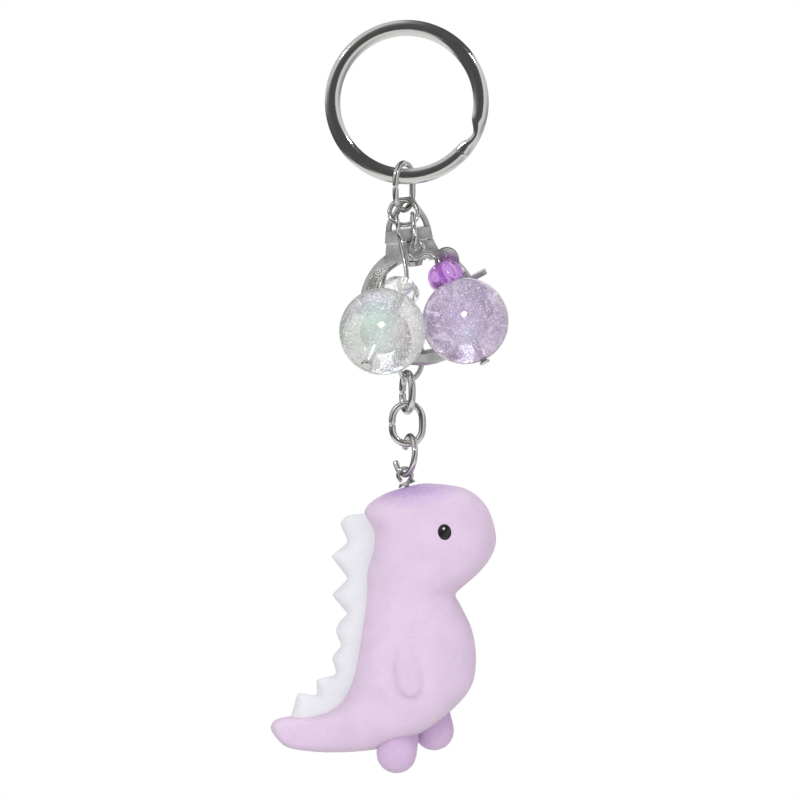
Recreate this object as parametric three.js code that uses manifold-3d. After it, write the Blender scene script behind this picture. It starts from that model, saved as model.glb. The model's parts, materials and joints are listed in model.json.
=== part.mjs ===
// A charm keyring: a split ring carries, on one short link, a trigger clasp and two bead drops, and a short
// chain hooked in the clasp carries a small flocked dinosaur. It is modelled hanging at rest.
// Millimetres, +Z up, the figure faces +X. The origin is the inside top of the split ring, where it is held.
import * as THREE from 'three';
import { mergeVertices } from 'three/addons/utils/BufferGeometryUtils.js';
import Module from 'manifold-3d';

const wasm = await Module();
wasm.setup();

// ---------------------------------------------------------------- driving dimensions
const play = 0.14; // between two wires that hang square on each other
const askewPlay = 0.46; // between two wires that hang askew
const seamGap = 0.3; // between glued or touching pieces
const deg = Math.PI / 180;

const splitRing = {
  outerRadius: 15.2,
  band: 2.85,
  coil: 1.15,
  coilGap: 0.1,
  edgeBevel: 0.38,
  stepFrom: -12,
  stepTo: -40,
  stepInset: 0.3,
};
const topLink = { wire: 1.25, width: 7.0, height: 10.0, turn: 57, lean: 4, share: 40 };
const jumpRing = { wire: 1.1, width: 6.4, height: 6.4, share: 32 };
const violetLink = { wire: 1.0, width: 4.8, height: 7.8 };
const pin = { wire: 0.9, eyeRadius: 1.75, eyeSweep: 172, headRadius: 1.1, headHeight: 0.6, neck: 0.5 };
const largeBead = { radius: 7.95, bore: 0.8, cavity: 3.3, core: 3.0, recess: 1.0 };
const smallBead = { radius: 3.4, halfHeight: 2.3, lobes: 5, lobeDepth: 0.14, gap: 0.06 };
const clasp = {
  tilt: 7.5,
  lean: 7,
  loopRadius: 11.3,
  loopDrop: 19.8,
  band: 2.8,
  thickness: 2.6,
  panelThickness: 2.0,
  eyeWire: 1.2,
  eyeTopHalf: 0.95,
  eyeLeft: -4.0,
  eyeRight: 3.2,
  barTop: 5.3,
  barHeight: 2.2,
  barThickness: 2.8,
  headHeight: 3.4,
  headThickness: 4.0,
  postRadius: 1.0,
  postHole: 1.12,
  rivetRadius: 1.7,
  rivetHeight: 0.9,
  pivotAngle: 52,
  pivotPinRadius: 0.6,
  pivotHole: 0.66,
  cheekRadius: 2.3,
};
const lever = {
  thickness: 1.9,
  reach: 11.6,
  clearance: 0.35,
  bossRadius: 1.65,
  tabAngle: -20,
  tab: new THREE.Vector3(3.6, 3.3, 0.9),
};
const spring = { wire: 0.24, radius: 0.5, length: 1.3, turns: 3.5 };
const chainRing = { wire: 1.05, width: 7.6, height: 8.2, turn: 50 };
const upperLink = { wire: 1.35, width: 7.0, height: 8.6, turn: -72 };
const lowerLink = { wire: 1.35, width: 7.0, height: 8.9, turn: 0 };
const openRing = { wire: 1.15, width: 8.4, height: 8.4, turn: -68, opening: 2.2, twist: 2.0 };
const screwEye = {
  wire: 0.8,
  radius: 1.3,
  shank: 7.0,
  socketRadius: 0.85,
  washerRadius: 1.75,
  washerHole: 1.2,
  washerHeight: 0.6,
  washerTilt: -22,
  washerLift: 0.98,
};

// where the beads hang, and where the small bead of each drop sits beside its large one
const clearBeadCentre = new THREE.Vector3(-4.45, -13.2, -55.1);
const clearPinUp = new THREE.Vector3(0.34, 0.58, 0.74).normalize();
const violetBeadCentre = new THREE.Vector3(10.74, -8.1, -53.1);
const violetPinUp = new THREE.Vector3(-0.42, 0.1, 0.9).normalize();

// ---------------------------------------------------------------- colours
const nickel = { color: 0xc9c9c6, roughness: 0.16, metalness: 1 };
const clearAcrylic = { color: 0xdfe6e2, roughness: 0.08, metalness: 0, transparent: true, opacity: 0.45 };
const violetAcrylic = { color: 0xb79fce, roughness: 0.1, metalness: 0, transparent: true, opacity: 0.6 };
const purpleAcrylic = { color: 0x8a3fa0, roughness: 0.08, metalness: 0, transparent: true, opacity: 0.7 };
const lilacFlock = { color: 0xd9bfe0, roughness: 0.95, metalness: 0 };
const deepLilacFlock = { color: 0xcdb0dc, roughness: 0.95, metalness: 0 };
const whiteFlock = { color: 0xf2f1f7, roughness: 0.95, metalness: 0 };
const blackGloss = { color: 0x17161a, roughness: 0.12, metalness: 0 };

// ---------------------------------------------------------------- tools
function named(name, geometry, finish) {
  const mesh = new THREE.Mesh(geometry, new THREE.MeshStandardMaterial(finish));
  mesh.name = name;
  return mesh;
}

function solid(geometry) {
  const plain = geometry.clone();
  plain.deleteAttribute('normal');
  plain.deleteAttribute('uv');
  const merged = mergeVertices(plain, 1e-4);
  const vertProperties = new Float32Array(merged.attributes.position.array);
  const triVerts = new Uint32Array(merged.index.array);
  return new wasm.Manifold(new wasm.Mesh({ numProp: 3, vertProperties, triVerts }));
}

function meshed(manifold) {
  const out = manifold.getMesh();
  const geometry = new THREE.BufferGeometry();
  geometry.setAttribute('position', new THREE.BufferAttribute(new Float32Array(out.vertProperties), 3));
  geometry.setIndex(new THREE.BufferAttribute(new Uint32Array(out.triVerts), 1));
  geometry.computeVertexNormals();
  return geometry;
}

// a flat piece with an outline of [x, z] points, its thickness halved by the XZ plane
function plate(outline, thickness) {
  const shape = new THREE.Shape(outline.map(([x, z]) => new THREE.Vector2(x, z)));
  const geometry = new THREE.ExtrudeGeometry(shape, { depth: thickness, bevelEnabled: false });
  return solid(geometry.rotateX(Math.PI / 2).translate(0, thickness / 2, 0));
}

// a bar along Z, centred on the origin
function uprightBar(radius, length, segments, topRadius = radius) {
  return new THREE.CylinderGeometry(topRadius, radius, length, segments).rotateX(Math.PI / 2);
}

// a round wire of `sides` facets swept along an open curve
function sweepWire(curve, diameter, steps, sides = 8) {
  const section = new THREE.Shape();
  for (let side = 0; side < sides; side += 1) {
    const angle = ((side + 0.5) / sides) * 2 * Math.PI;
    const point = [0.5 * diameter * Math.cos(angle), 0.5 * diameter * Math.sin(angle)];
    if (side === 0) section.moveTo(...point);
    else section.lineTo(...point);
  }
  section.closePath();
  return new THREE.ExtrudeGeometry(section, { steps, curveSegments: 1, bevelEnabled: false, extrudePath: curve });
}

// the centre line of a bent link in its XZ plane: straight legs and round ends, its butted ends in one leg;
// `twist` carries the two ends apart along Y, as when a ring is opened sideways
class LinkCurve extends THREE.Curve {
  constructor(width, height, opening, twist = 0) {
    super();
    this.radius = width / 2;
    this.leg = height - width;
    this.opening = opening;
    this.twist = twist;
  }

  getPoint(t, target = new THREE.Vector3()) {
    const arc = Math.PI * this.radius;
    const whole = 2 * (arc + this.leg);
    let along = this.opening / 2 + t * (whole - this.opening);
    const y = this.twist * (t - 0.5);
    if (along < this.leg / 2) return target.set(-this.radius, y, -along);
    along -= this.leg / 2;
    if (along < arc) {
      const angle = along / this.radius;
      return target.set(-this.radius * Math.cos(angle), y, -this.leg / 2 - this.radius * Math.sin(angle));
    }
    along -= arc;
    if (along < this.leg) return target.set(this.radius, y, along - this.leg / 2);
    along -= this.leg;
    if (along < arc) {
      const angle = along / this.radius;
      return target.set(this.radius * Math.cos(angle), y, this.leg / 2 + this.radius * Math.sin(angle));
    }
    along -= arc;
    return target.set(-this.radius, y, this.leg / 2 - along);
  }
}

// a bent link standing on its lower end: width and height are outside sizes, centred on the origin
function linkGeometry(link, steps = 24) {
  const butted = 0.08;
  const opening = link.opening ?? butted;
  const curve = new LinkCurve(link.width - link.wire, link.height - link.wire, opening, link.twist);
  return sweepWire(curve, link.wire, steps);
}

// turns a frame so that its Z runs along `up` and its X stays as near to `across` as it can
function turned(up, across) {
  const z = up.clone().normalize();
  const y = new THREE.Vector3().crossVectors(z, across).normalize();
  const x = new THREE.Vector3().crossVectors(y, z);
  return new THREE.Quaternion().setFromRotationMatrix(new THREE.Matrix4().makeBasis(x, y, z));
}

// a named link hung with the centre of its upper wire at `top`
function hung(name, link, top, down, across, steps) {
  const mesh = named(name, linkGeometry(link, steps), nickel);
  const reach = (link.height - link.wire) / 2;
  mesh.quaternion.copy(turned(down.clone().negate(), across));
  mesh.position.copy(top).addScaledVector(down.clone().normalize(), reach);
  return mesh;
}

// the centre of the lower wire of a link that hangs from `top`
function foot(link, top, down) {
  return top.clone().addScaledVector(down.clone().normalize(), link.height - link.wire);
}

// how far above the centre of a wire the next wire's centre lies
function seat(lower, upper, slack = play) {
  return (lower + upper) / 2 + slack;
}

// a level direction, `turn` degrees round from +X
function heading(turn) {
  return new THREE.Vector3(Math.cos(turn * deg), Math.sin(turn * deg), 0);
}

const group = new THREE.Group();
const downwards = new THREE.Vector3(0, 0, -1);

// ---------------------------------------------------------------- split ring
const ringCentre = new THREE.Vector3(0, 0, splitRing.band - splitRing.outerRadius);

// two turns of flat wire that cross from the front coil to the back one between stepFrom and stepTo
class SplitRingCurve extends THREE.Curve {
  getPoint(t, target = new THREE.Vector3()) {
    const crossing = splitRing.stepFrom - splitRing.stepTo;
    const turn = 360 - crossing;
    const endRelief = 2;
    const swept = endRelief + t * (2 * turn + crossing - 2 * endRelief);
    const through = THREE.MathUtils.smoothstep(swept, turn, turn + crossing);
    const shift = splitRing.coil + splitRing.coilGap;
    const inset = splitRing.stepInset * Math.sin(Math.PI * through);
    const radius = splitRing.outerRadius - splitRing.band / 2 - inset;
    const angle = (splitRing.stepTo - swept) * deg;
    return target.set(radius * Math.cos(angle), shift * (through - 0.5), radius * Math.sin(angle));
  }
}

function splitRingSection() {
  const halfBand = splitRing.band / 2;
  const halfCoil = splitRing.coil / 2;
  const corner = splitRing.edgeBevel;
  const section = new THREE.Shape();
  section.moveTo(-halfCoil, corner - halfBand);
  section.lineTo(corner - halfCoil, -halfBand);
  section.lineTo(halfCoil - corner, -halfBand);
  section.lineTo(halfCoil, corner - halfBand);
  section.lineTo(halfCoil, halfBand - corner);
  section.lineTo(halfCoil - corner, halfBand);
  section.lineTo(corner - halfCoil, halfBand);
  section.lineTo(-halfCoil, halfBand - corner);
  section.closePath();
  return section;
}

const splitRingGeometry = new THREE.ExtrudeGeometry(splitRingSection(), {
  steps: 76,
  curveSegments: 1,
  bevelEnabled: false,
  extrudePath: new SplitRingCurve(),
});
const splitRingMesh = named('split_ring', splitRingGeometry, nickel);
splitRingMesh.position.copy(ringCentre);
group.add(splitRingMesh);

// ---------------------------------------------------------------- top link
const ringInnerBottom = 2 * ringCentre.z;
const topLinkDown = downwards.clone().applyAxisAngle(new THREE.Vector3(1, 0, 0), topLink.lean * deg);
const topLinkAcross = heading(topLink.turn);
const topLinkTop = new THREE.Vector3(-0.5, -0.2, ringInnerBottom + topLink.wire / 2 + 3 * play);
group.add(hung('top_link', topLink, topLinkTop, topLinkDown, topLinkAcross));
const topLinkFoot = foot(topLink, topLinkTop, topLinkDown);

// two wires share the round lower end of the top link: `along` is their place round it, in degrees
function onTopLink(wire, along) {
  const endRadius = (topLink.width - topLink.wire) / 2;
  const ride = endRadius - topLink.wire / 2 - wire / 2 - askewPlay;
  const place = topLinkFoot.clone();
  place.z += endRadius - ride * Math.cos(along * deg);
  return place.addScaledVector(topLinkAcross, ride * Math.sin(along * deg));
}

// ---------------------------------------------------------------- bead drops
function largeBeadShell() {
  const { radius, bore, cavity } = largeBead;
  const mouth = Math.sqrt(radius ** 2 - bore ** 2);
  const cavityMouth = Math.sqrt(cavity ** 2 - bore ** 2);
  const profile = [];
  const outerSteps = 12;
  for (let step = 0; step <= outerSteps; step += 1) {
    const angle = Math.atan2(mouth, bore) * (1 - (2 * step) / outerSteps);
    profile.push(new THREE.Vector2(radius * Math.cos(angle), radius * Math.sin(angle)));
  }
  const innerSteps = 6;
  for (let step = 0; step <= innerSteps; step += 1) {
    const angle = Math.atan2(cavityMouth, bore) * ((2 * step) / innerSteps - 1);
    profile.push(new THREE.Vector2(cavity * Math.cos(angle), cavity * Math.sin(angle)));
  }
  profile.push(profile[0].clone());
  return new THREE.LatheGeometry(profile.reverse(), 18).rotateX(Math.PI / 2);
}

function boredBall(radius, bore, steps, segments, height = radius) {
  const mouth = Math.acos(bore / radius);
  const profile = [];
  for (let step = 0; step <= steps; step += 1) {
    const angle = mouth * ((2 * step) / steps - 1);
    profile.push(new THREE.Vector2(radius * Math.cos(angle), height * Math.sin(angle)));
  }
  profile.push(profile[0].clone());
  return new THREE.LatheGeometry(profile, segments).rotateX(Math.PI / 2);
}

// a squat bead with soft lobes round its bore
function lobedBead() {
  const geometry = boredBall(smallBead.radius, largeBead.bore, 6, 4 * smallBead.lobes, smallBead.halfHeight);
  const position = geometry.attributes.position;
  for (let index = 0; index < position.count; index += 1) {
    const x = position.getX(index);
    const y = position.getY(index);
    const reach = Math.hypot(x, y);
    const outward = (reach - largeBead.bore) / (smallBead.radius - largeBead.bore);
    const wave = Math.cos(smallBead.lobes * Math.atan2(y, x));
    const scale = 1 - smallBead.lobeDepth * outward * (0.5 - 0.5 * wave);
    position.setX(index, x * scale);
    position.setY(index, y * scale);
  }
  return geometry;
}

// a head pin: its round head under the large bead, its shank up the bore, and a bent eye round `eye`
function headPin(eye, side) {
  const beadMiddle = new THREE.Vector3(0, 0, largeBead.radius + smallBead.halfHeight);
  const neck = beadMiddle.clone().add(new THREE.Vector3(0, 0, smallBead.halfHeight + pin.neck));
  const towardsEye = eye.clone().sub(neck).normalize();
  const sideways = side.clone().addScaledVector(towardsEye, -side.dot(towardsEye)).normalize();
  const bottom = new THREE.Vector3(0, 0, largeBead.recess - largeBead.radius);
  const points = [bottom, new THREE.Vector3(0, 0, 0), beadMiddle, neck];
  const eyeSteps = 12;
  for (let step = 0; step <= eyeSteps; step += 1) {
    const angle = pin.eyeSweep * ((2 * step) / eyeSteps - 1) * deg;
    const point = eye.clone().addScaledVector(towardsEye, pin.eyeRadius * Math.cos(angle));
    points.push(point.addScaledVector(sideways, pin.eyeRadius * Math.sin(angle)));
  }
  const path = new THREE.CatmullRomCurve3(points, false, 'centripetal');
  const wire = solid(sweepWire(path, pin.wire, 34, 6));
  const head = uprightBar(pin.headRadius, pin.headHeight, 12);
  head.translate(0, 0, bottom.z - largeBead.recess - pin.headHeight / 2 - play);
  const stubOverlap = 0.8;
  const stub = uprightBar(pin.wire / 2, largeBead.recess + stubOverlap, 8);
  stub.translate(0, 0, bottom.z - largeBead.recess / 2);
  return meshed(wire.add(solid(stub)).add(solid(head)));
}

function dropGroup(prefix, centre, up, eye, eyeSide, shellFinish, smallFinish) {
  const drop = new THREE.Group();
  drop.position.copy(centre);
  drop.quaternion.copy(turned(up, new THREE.Vector3(1, 0, 0)));
  drop.updateMatrixWorld(true);
  const localEye = drop.worldToLocal(eye.clone());
  const localSide = eyeSide.clone().applyQuaternion(drop.quaternion.clone().invert());
  drop.add(named(`${prefix}_bead_shell`, largeBeadShell(), shellFinish));
  drop.add(named(`${prefix}_bead_core`, boredBall(largeBead.core, largeBead.bore, 6, 12), shellFinish));
  const small = named(`${prefix}_small_bead`, lobedBead(), smallFinish);
  small.position.z = largeBead.radius + smallBead.halfHeight + smallBead.gap;
  drop.add(small);
  drop.add(named(`${prefix}_pin`, headPin(localEye, localSide), nickel));
  return drop;
}

// both drops share a round jump ring: the clear one's pin is bent straight onto it, the violet one has a link
const facing = new THREE.Vector3(1, 0, 0);
const jumpRingTop = onTopLink(jumpRing.wire, -topLink.share);
const jumpRingDown = new THREE.Vector3(0.16, -0.45, -1).normalize();
group.add(hung('jump_ring', jumpRing, jumpRingTop, jumpRingDown, facing));
const jumpRingReach = (jumpRing.width - jumpRing.wire) / 2;
const jumpRingCentre = jumpRingTop.clone().addScaledVector(jumpRingDown, jumpRingReach);

// a place on the jump ring's wire, `along` degrees to the right of its lowest point
function onJumpRing(along) {
  const place = jumpRingCentre.clone().addScaledVector(jumpRingDown, jumpRingReach * Math.cos(along * deg));
  return place.addScaledVector(facing, jumpRingReach * Math.sin(along * deg));
}

const clearHook = onJumpRing(-jumpRing.share);
const clearEyeDown = new THREE.Vector3(-0.15, -0.35, -0.92).normalize();
const clearEyeReach = pin.eyeRadius - seat(jumpRing.wire, pin.wire, askewPlay);
const clearEye = clearHook.clone().addScaledVector(clearEyeDown, clearEyeReach);
const clearEyeSide = new THREE.Vector3(0, 1, 0);
group.add(dropGroup('clear', clearBeadCentre, clearPinUp, clearEye, clearEyeSide, clearAcrylic, clearAcrylic));

const violetHook = onJumpRing(jumpRing.share);
const violetLinkDown = new THREE.Vector3(0.1, -0.35, -1).normalize();
const violetLinkLift = seat(jumpRing.wire, violetLink.wire, askewPlay + 2 * play);
const violetLinkTop = violetHook.clone().addScaledVector(violetLinkDown, -violetLinkLift);
const violetAcross = new THREE.Vector3(-0.05, 1, 0);
group.add(hung('violet_link', violetLink, violetLinkTop, violetLinkDown, violetAcross));
const violetLinkFoot = foot(violetLink, violetLinkTop, violetLinkDown);
const violetEyeDown = new THREE.Vector3(0.35, -0.3, -0.85).normalize();
const violetEyeReach = pin.eyeRadius - seat(violetLink.wire, pin.wire, askewPlay);
const violetEye = violetLinkFoot.clone().addScaledVector(violetEyeDown, violetEyeReach);
const violetEyeSide = new THREE.Vector3(0, 0, 1);
group.add(dropGroup('violet', violetBeadCentre, violetPinUp, violetEye, violetEyeSide, violetAcrylic, purpleAcrylic));

// ---------------------------------------------------------------- clasp, in a frame hung from the top link
// its eye's top wire is at the frame's origin, its loop is a round band in the XZ plane, thickness along Y
const claspGroup = new THREE.Group();
claspGroup.position.copy(onTopLink(clasp.eyeWire, topLink.share));
claspGroup.rotation.set(clasp.lean * deg, -clasp.tilt * deg, 0, 'XYZ');
group.add(claspGroup);

const loopCentre = new THREE.Vector3(0, 0, -clasp.loopDrop);
const bandRadius = clasp.loopRadius - clasp.band / 2;
const pivot = new THREE.Vector3(Math.cos(clasp.pivotAngle * deg), 0, Math.sin(clasp.pivotAngle * deg))
  .multiplyScalar(bandRadius - 0.1)
  .add(loopCentre);
const headTop = -(clasp.barTop + clasp.barHeight + seamGap);
const headBottom = headTop - clasp.headHeight;

// a round bar across the loop, along Y
function crossBar(radius, length, centre, segments = 20) {
  const geometry = new THREE.CylinderGeometry(radius, radius, length, segments);
  return solid(geometry.translate(centre.x, centre.y, centre.z));
}

// a whole round band of the loop with its long edges bevelled
function loopBand(inner, outer, thickness, bevel, segments = 44) {
  const half = thickness / 2;
  const profile = [
    new THREE.Vector2(inner, bevel - half),
    new THREE.Vector2(inner + bevel, -half),
    new THREE.Vector2(outer - bevel, -half),
    new THREE.Vector2(outer, bevel - half),
    new THREE.Vector2(outer, half - bevel),
    new THREE.Vector2(outer - bevel, half),
    new THREE.Vector2(inner + bevel, half),
    new THREE.Vector2(inner, half - bevel),
    new THREE.Vector2(inner, bevel - half),
  ];
  return solid(new THREE.LatheGeometry(profile, segments).translate(loopCentre.x, loopCentre.y, loopCentre.z));
}

// a wedge of the loop's plane between two angles, from its centre outwards
function wedge(from, to, reach, thickness) {
  const outline = [[loopCentre.x, loopCentre.z]];
  const steps = 6;
  for (let step = 0; step <= steps; step += 1) {
    const angle = (from + ((to - from) * step) / steps) * deg;
    outline.push([loopCentre.x + reach * Math.cos(angle), loopCentre.z + reach * Math.sin(angle)]);
  }
  return plate(outline, thickness);
}

const beyondLoop = 20; // far enough out, and deep enough, to cut right through the loop
const leverInner = clasp.loopRadius - clasp.band + 0.45;
const leverOuter = clasp.loopRadius - 0.35;

// the swivel eye: a bent wire on a bar that widens downwards, and a post riveted through the head
function claspEye() {
  const base = -(clasp.barTop + 0.4);
  const points = [
    [clasp.eyeLeft, base],
    [clasp.eyeLeft + 0.3, base + 1.6],
    [-clasp.eyeTopHalf - 0.75, -1.6],
    [-clasp.eyeTopHalf, -0.25],
    [0, 0],
    [clasp.eyeTopHalf, -0.25],
    [clasp.eyeTopHalf + 0.75, -1.6],
    [clasp.eyeRight - 0.25, base + 1.6],
    [clasp.eyeRight, base],
  ];
  const path = new THREE.CatmullRomCurve3(points.map(([x, z]) => new THREE.Vector3(x, 0, z)));
  const wire = solid(sweepWire(path, clasp.eyeWire, 26));
  const barBottom = -(clasp.barTop + clasp.barHeight);
  const halfWire = clasp.eyeWire / 2;
  const bar = plate(
    [
      [clasp.eyeLeft - halfWire, -clasp.barTop],
      [clasp.eyeRight + halfWire, -clasp.barTop],
      [clasp.eyeRight + halfWire + 0.2, barBottom],
      [clasp.eyeLeft - halfWire - 0.4, barBottom],
    ],
    clasp.barThickness,
  );
  const postEnd = headBottom - 1.2;
  const postOverlap = 0.4;
  const postLength = barBottom - postEnd + postOverlap;
  const post = uprightBar(clasp.postRadius, postLength, 14).translate(0, 0, postEnd + postLength / 2);
  const rivet = uprightBar(clasp.rivetRadius - 0.4, clasp.rivetHeight, 14, clasp.rivetRadius);
  rivet.translate(0, 0, postEnd + clasp.rivetHeight / 2);
  return meshed(wire.add(bar).add(solid(post)).add(solid(rivet)));
}

// the head and the loop in one casting, with a flat panel down the closed side
function claspBody() {
  const band = loopBand(clasp.loopRadius - clasp.band, clasp.loopRadius, clasp.thickness, 0.65);
  const head = plate([[-4.8, headTop], [3.9, headTop], [5.2, headBottom], [-5.5, headBottom]], clasp.headThickness);
  const panel = plate(
    [[-5.2, headBottom + 1.5], [-11.2, -16.9], [-11.1, -19.5], [-9.0, -19.5], [-6.4, -16.0], [-4.6, headBottom]],
    clasp.panelThickness,
  );
  const cheek = crossBar(clasp.cheekRadius, clasp.headThickness, pivot);
  const slot = lever.thickness + 0.3;
  const swing = crossBar(lever.reach + lever.clearance, slot, pivot, 40);
  const gateway = crossBar(lever.reach + lever.clearance, beyondLoop, pivot, 40);
  const postHole = uprightBar(clasp.postHole, 12, 16).translate(0, 0, headTop);
  return meshed(
    band
      .add(head)
      .add(panel)
      .add(cheek)
      .subtract(solid(postHole))
      .subtract(swing.intersect(wedge(-35, 76, beyondLoop, slot)))
      .subtract(gateway.intersect(wedge(-35, 36, beyondLoop, beyondLoop)))
      .subtract(crossBar(clasp.pivotHole, beyondLoop, pivot, 14)),
  );
}

function claspLever() {
  const gate = loopBand(leverInner, leverOuter, lever.thickness, 0.35)
    .intersect(wedge(-40, clasp.pivotAngle, beyondLoop, beyondLoop))
    .intersect(crossBar(lever.reach, beyondLoop, pivot, 40));
  const boss = crossBar(lever.bossRadius, lever.thickness, pivot);
  const tab = new THREE.BoxGeometry(lever.tab.x, lever.tab.y, lever.tab.z);
  tab.translate(clasp.loopRadius + 0.7, 0, 0).rotateY(lever.tabAngle * deg);
  tab.translate(loopCentre.x, loopCentre.y, loopCentre.z);
  return meshed(gate.add(boss).add(solid(tab)).subtract(crossBar(clasp.pivotHole, beyondLoop, pivot, 14)));
}

// a coil spring in the body's slot, between the head and the lever's boss
function claspSpring() {
  class Coil extends THREE.Curve {
    getPoint(t, target = new THREE.Vector3()) {
      const angle = t * spring.turns * 2 * Math.PI;
      target.set(Math.cos(angle), Math.sin(angle), 0).multiplyScalar(spring.radius);
      return target.setZ(spring.length * (t - 0.5));
    }
  }
  return sweepWire(new Coil(), spring.wire, 30, 4);
}

claspGroup.add(named('clasp_eye', claspEye(), nickel));
claspGroup.add(named('clasp_body', claspBody(), nickel));
claspGroup.add(named('clasp_lever', claspLever(), nickel));
const pivotPinLength = clasp.headThickness + 0.3;
const pivotPin = named(
  'clasp_pivot_pin',
  new THREE.CylinderGeometry(clasp.pivotPinRadius, clasp.pivotPinRadius, pivotPinLength, 14),
  nickel,
);
pivotPin.position.copy(pivot);
claspGroup.add(pivotPin);
const springMesh = named('clasp_spring', claspSpring(), nickel);
springMesh.position.set(pivot.x - 2.6, 0, pivot.z + 0.8);
springMesh.rotation.y = Math.PI / 2;
claspGroup.add(springMesh);

// ---------------------------------------------------------------- chain
claspGroup.updateMatrixWorld(true);
const hookAngle = -(98 + clasp.tilt) * deg;
const hookDirection = new THREE.Vector3(Math.cos(hookAngle), 0, Math.sin(hookAngle));
const hookReach = clasp.loopRadius - clasp.band - chainRing.wire / 2 - 2 * askewPlay;
const chainRingTop = claspGroup.localToWorld(loopCentre.clone().addScaledVector(hookDirection, hookReach));
const chainDown = new THREE.Vector3(-0.2, 0, -1).normalize();
group.add(hung('chain_ring', chainRing, chainRingTop, chainDown, heading(chainRing.turn)));

// where the wire of the next link crosses the foot of a link
function nextTop(link, top, down, next, slack = play) {
  return foot(link, top, down).add(new THREE.Vector3(0, 0, seat(link.wire, next.wire, slack)));
}

const upperTop = nextTop(chainRing, chainRingTop, chainDown, upperLink);
group.add(hung('chain_link_upper', upperLink, upperTop, downwards, heading(upperLink.turn)));
const lowerTop = nextTop(upperLink, upperTop, downwards, lowerLink);
group.add(hung('chain_link_lower', lowerLink, lowerTop, downwards, heading(lowerLink.turn)));
const openTop = nextTop(lowerLink, lowerTop, downwards, openRing, play + 0.12);
group.add(hung('open_jump_ring', openRing, openTop, downwards, heading(openRing.turn), 30));
const openRingSide = heading(openRing.turn + 90);
const eyeTop = nextTop(openRing, openTop, downwards, screwEye, 2 * play);
eyeTop.addScaledVector(openRingSide, -openRing.twist / 4);

// ---------------------------------------------------------------- figure
// its frame starts where the screw eye enters the top of the head
const headTopAt = new THREE.Vector3(0, eyeTop.y, -84.1);
const head = { centre: new THREE.Vector3(5.0, 0, -8.7), half: new THREE.Vector3(11.5, 9.3, 10.0) };
// the torso and tail: where each section meets the back and the belly, and half its depth
const torso = [
  { back: [0.5, -12.0], belly: [0.5, -12.0], depth: 0 },
  { back: [-7.8, -16.0], belly: [8.6, -17.0], depth: 7.2 },
  { back: [-8.0, -20.3], belly: [9.2, -20.4], depth: 7.8 },
  { back: [-8.2, -25.8], belly: [11.9, -26.0], depth: 8.8 },
  { back: [-8.7, -30.2], belly: [12.9, -32.0], depth: 9.3 },
  { back: [-10.0, -34.3], belly: [10.8, -38.4], depth: 9.1 },
  { back: [-12.6, -37.8], belly: [3.5, -44.8], depth: 7.8 },
  { back: [-16.0, -41.2], belly: [-7.5, -48.6], depth: 5.2 },
  { back: [-19.5, -42.3], belly: [-17.0, -48.3], depth: 3.6 },
  { back: [-23.2, -43.2], belly: [-22.6, -46.7], depth: 2.2 },
  { back: [-25.6, -44.6], belly: [-25.6, -44.6], depth: 0 },
];
const crestOutline = [
  // down the teeth
  [-8.5, -5.0], [-11.1, -5.3], [-12.1, -6.3], [-11.2, -9.9], [-13.7, -12.6], [-11.2, -16.8], [-13.6, -19.7],
  [-11.2, -23.3], [-13.1, -26.6], [-12.4, -29.2], [-13.6, -31.4], [-13.3, -34.5], [-16.4, -35.5], [-16.9, -38.3],
  [-19.9, -38.4], [-21.5, -42.2],
  // and back up inside the body
  [-13.5, -42.4], [-7.5, -38.0], [-5.0, -30.0], [-4.5, -20.0], [-3.5, -10.0], [-5.0, -4.4],
];
const crestThickness = 4.6;
const feet = { radius: 3.75, spread: 2.8 };
const rightFoot = { from: [-1.3, -feet.spread, -44.5], to: [-1.9, -feet.spread, -49.1] };
const leftFoot = { from: [3.9, feet.spread, -40.4], to: [5.0, feet.spread, -44.9] };
const arm = { centre: new THREE.Vector3(0.0, 8.9, -34.2), half: new THREE.Vector3(2.45, 1.7, 5.0), turn: 9 };
const eyeDot = { centre: new THREE.Vector3(6.9, 9.0, -8.0), half: new THREE.Vector3(1.32, 0.62, 1.6) };

function smoothed(values) {
  return new THREE.CatmullRomCurve3(values.map(([x, z]) => new THREE.Vector3(x, 0, z)));
}

// a ball pulled into the torso: each ring of latitude becomes one section from the back to the belly
function torsoSolid(grow) {
  const back = smoothed(torso.map((section) => section.back));
  const belly = smoothed(torso.map((section) => section.belly));
  const geometry = new THREE.SphereGeometry(1, 16, 2 * (torso.length - 1));
  const position = geometry.attributes.position;
  const point = new THREE.Vector3();
  for (let index = 0; index < position.count; index += 1) {
    point.fromBufferAttribute(position, index);
    const along = Math.acos(THREE.MathUtils.clamp(point.y, -1, 1)) / Math.PI;
    const reach = Math.hypot(point.x, point.z);
    const place = along * (torso.length - 1);
    const station = Math.min(Math.floor(place + 1e-6), torso.length - 2);
    const depth = THREE.MathUtils.lerp(torso[station].depth, torso[station + 1].depth, place - station);
    const backPoint = back.getPoint(along);
    const bellyPoint = belly.getPoint(along);
    const middle = backPoint.clone().add(bellyPoint).multiplyScalar(0.5);
    if (reach > 1e-6) {
      const half = bellyPoint.clone().sub(middle);
      const width = half.length();
      middle.addScaledVector(half, ((1 + grow / width) * point.x) / reach);
      middle.y = (-(depth + grow) * point.z) / reach;
    }
    position.setXYZ(index, middle.x, middle.y, middle.z);
  }
  return solid(geometry);
}

// an ellipsoid, its half sizes made larger by `grow`
function ballSolid(centre, half, grow, segments = 18) {
  const geometry = new THREE.SphereGeometry(1, segments, segments - 4);
  geometry.scale(half.x + grow, half.y + grow, half.z + grow);
  return solid(geometry.translate(centre.x, centre.y, centre.z));
}

function figureSolid(grow) {
  return torsoSolid(grow).add(ballSolid(head.centre, head.half, grow));
}

const grownFigure = figureSolid(seamGap);

function crest() {
  return meshed(plate(crestOutline, crestThickness).subtract(grownFigure));
}

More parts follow.
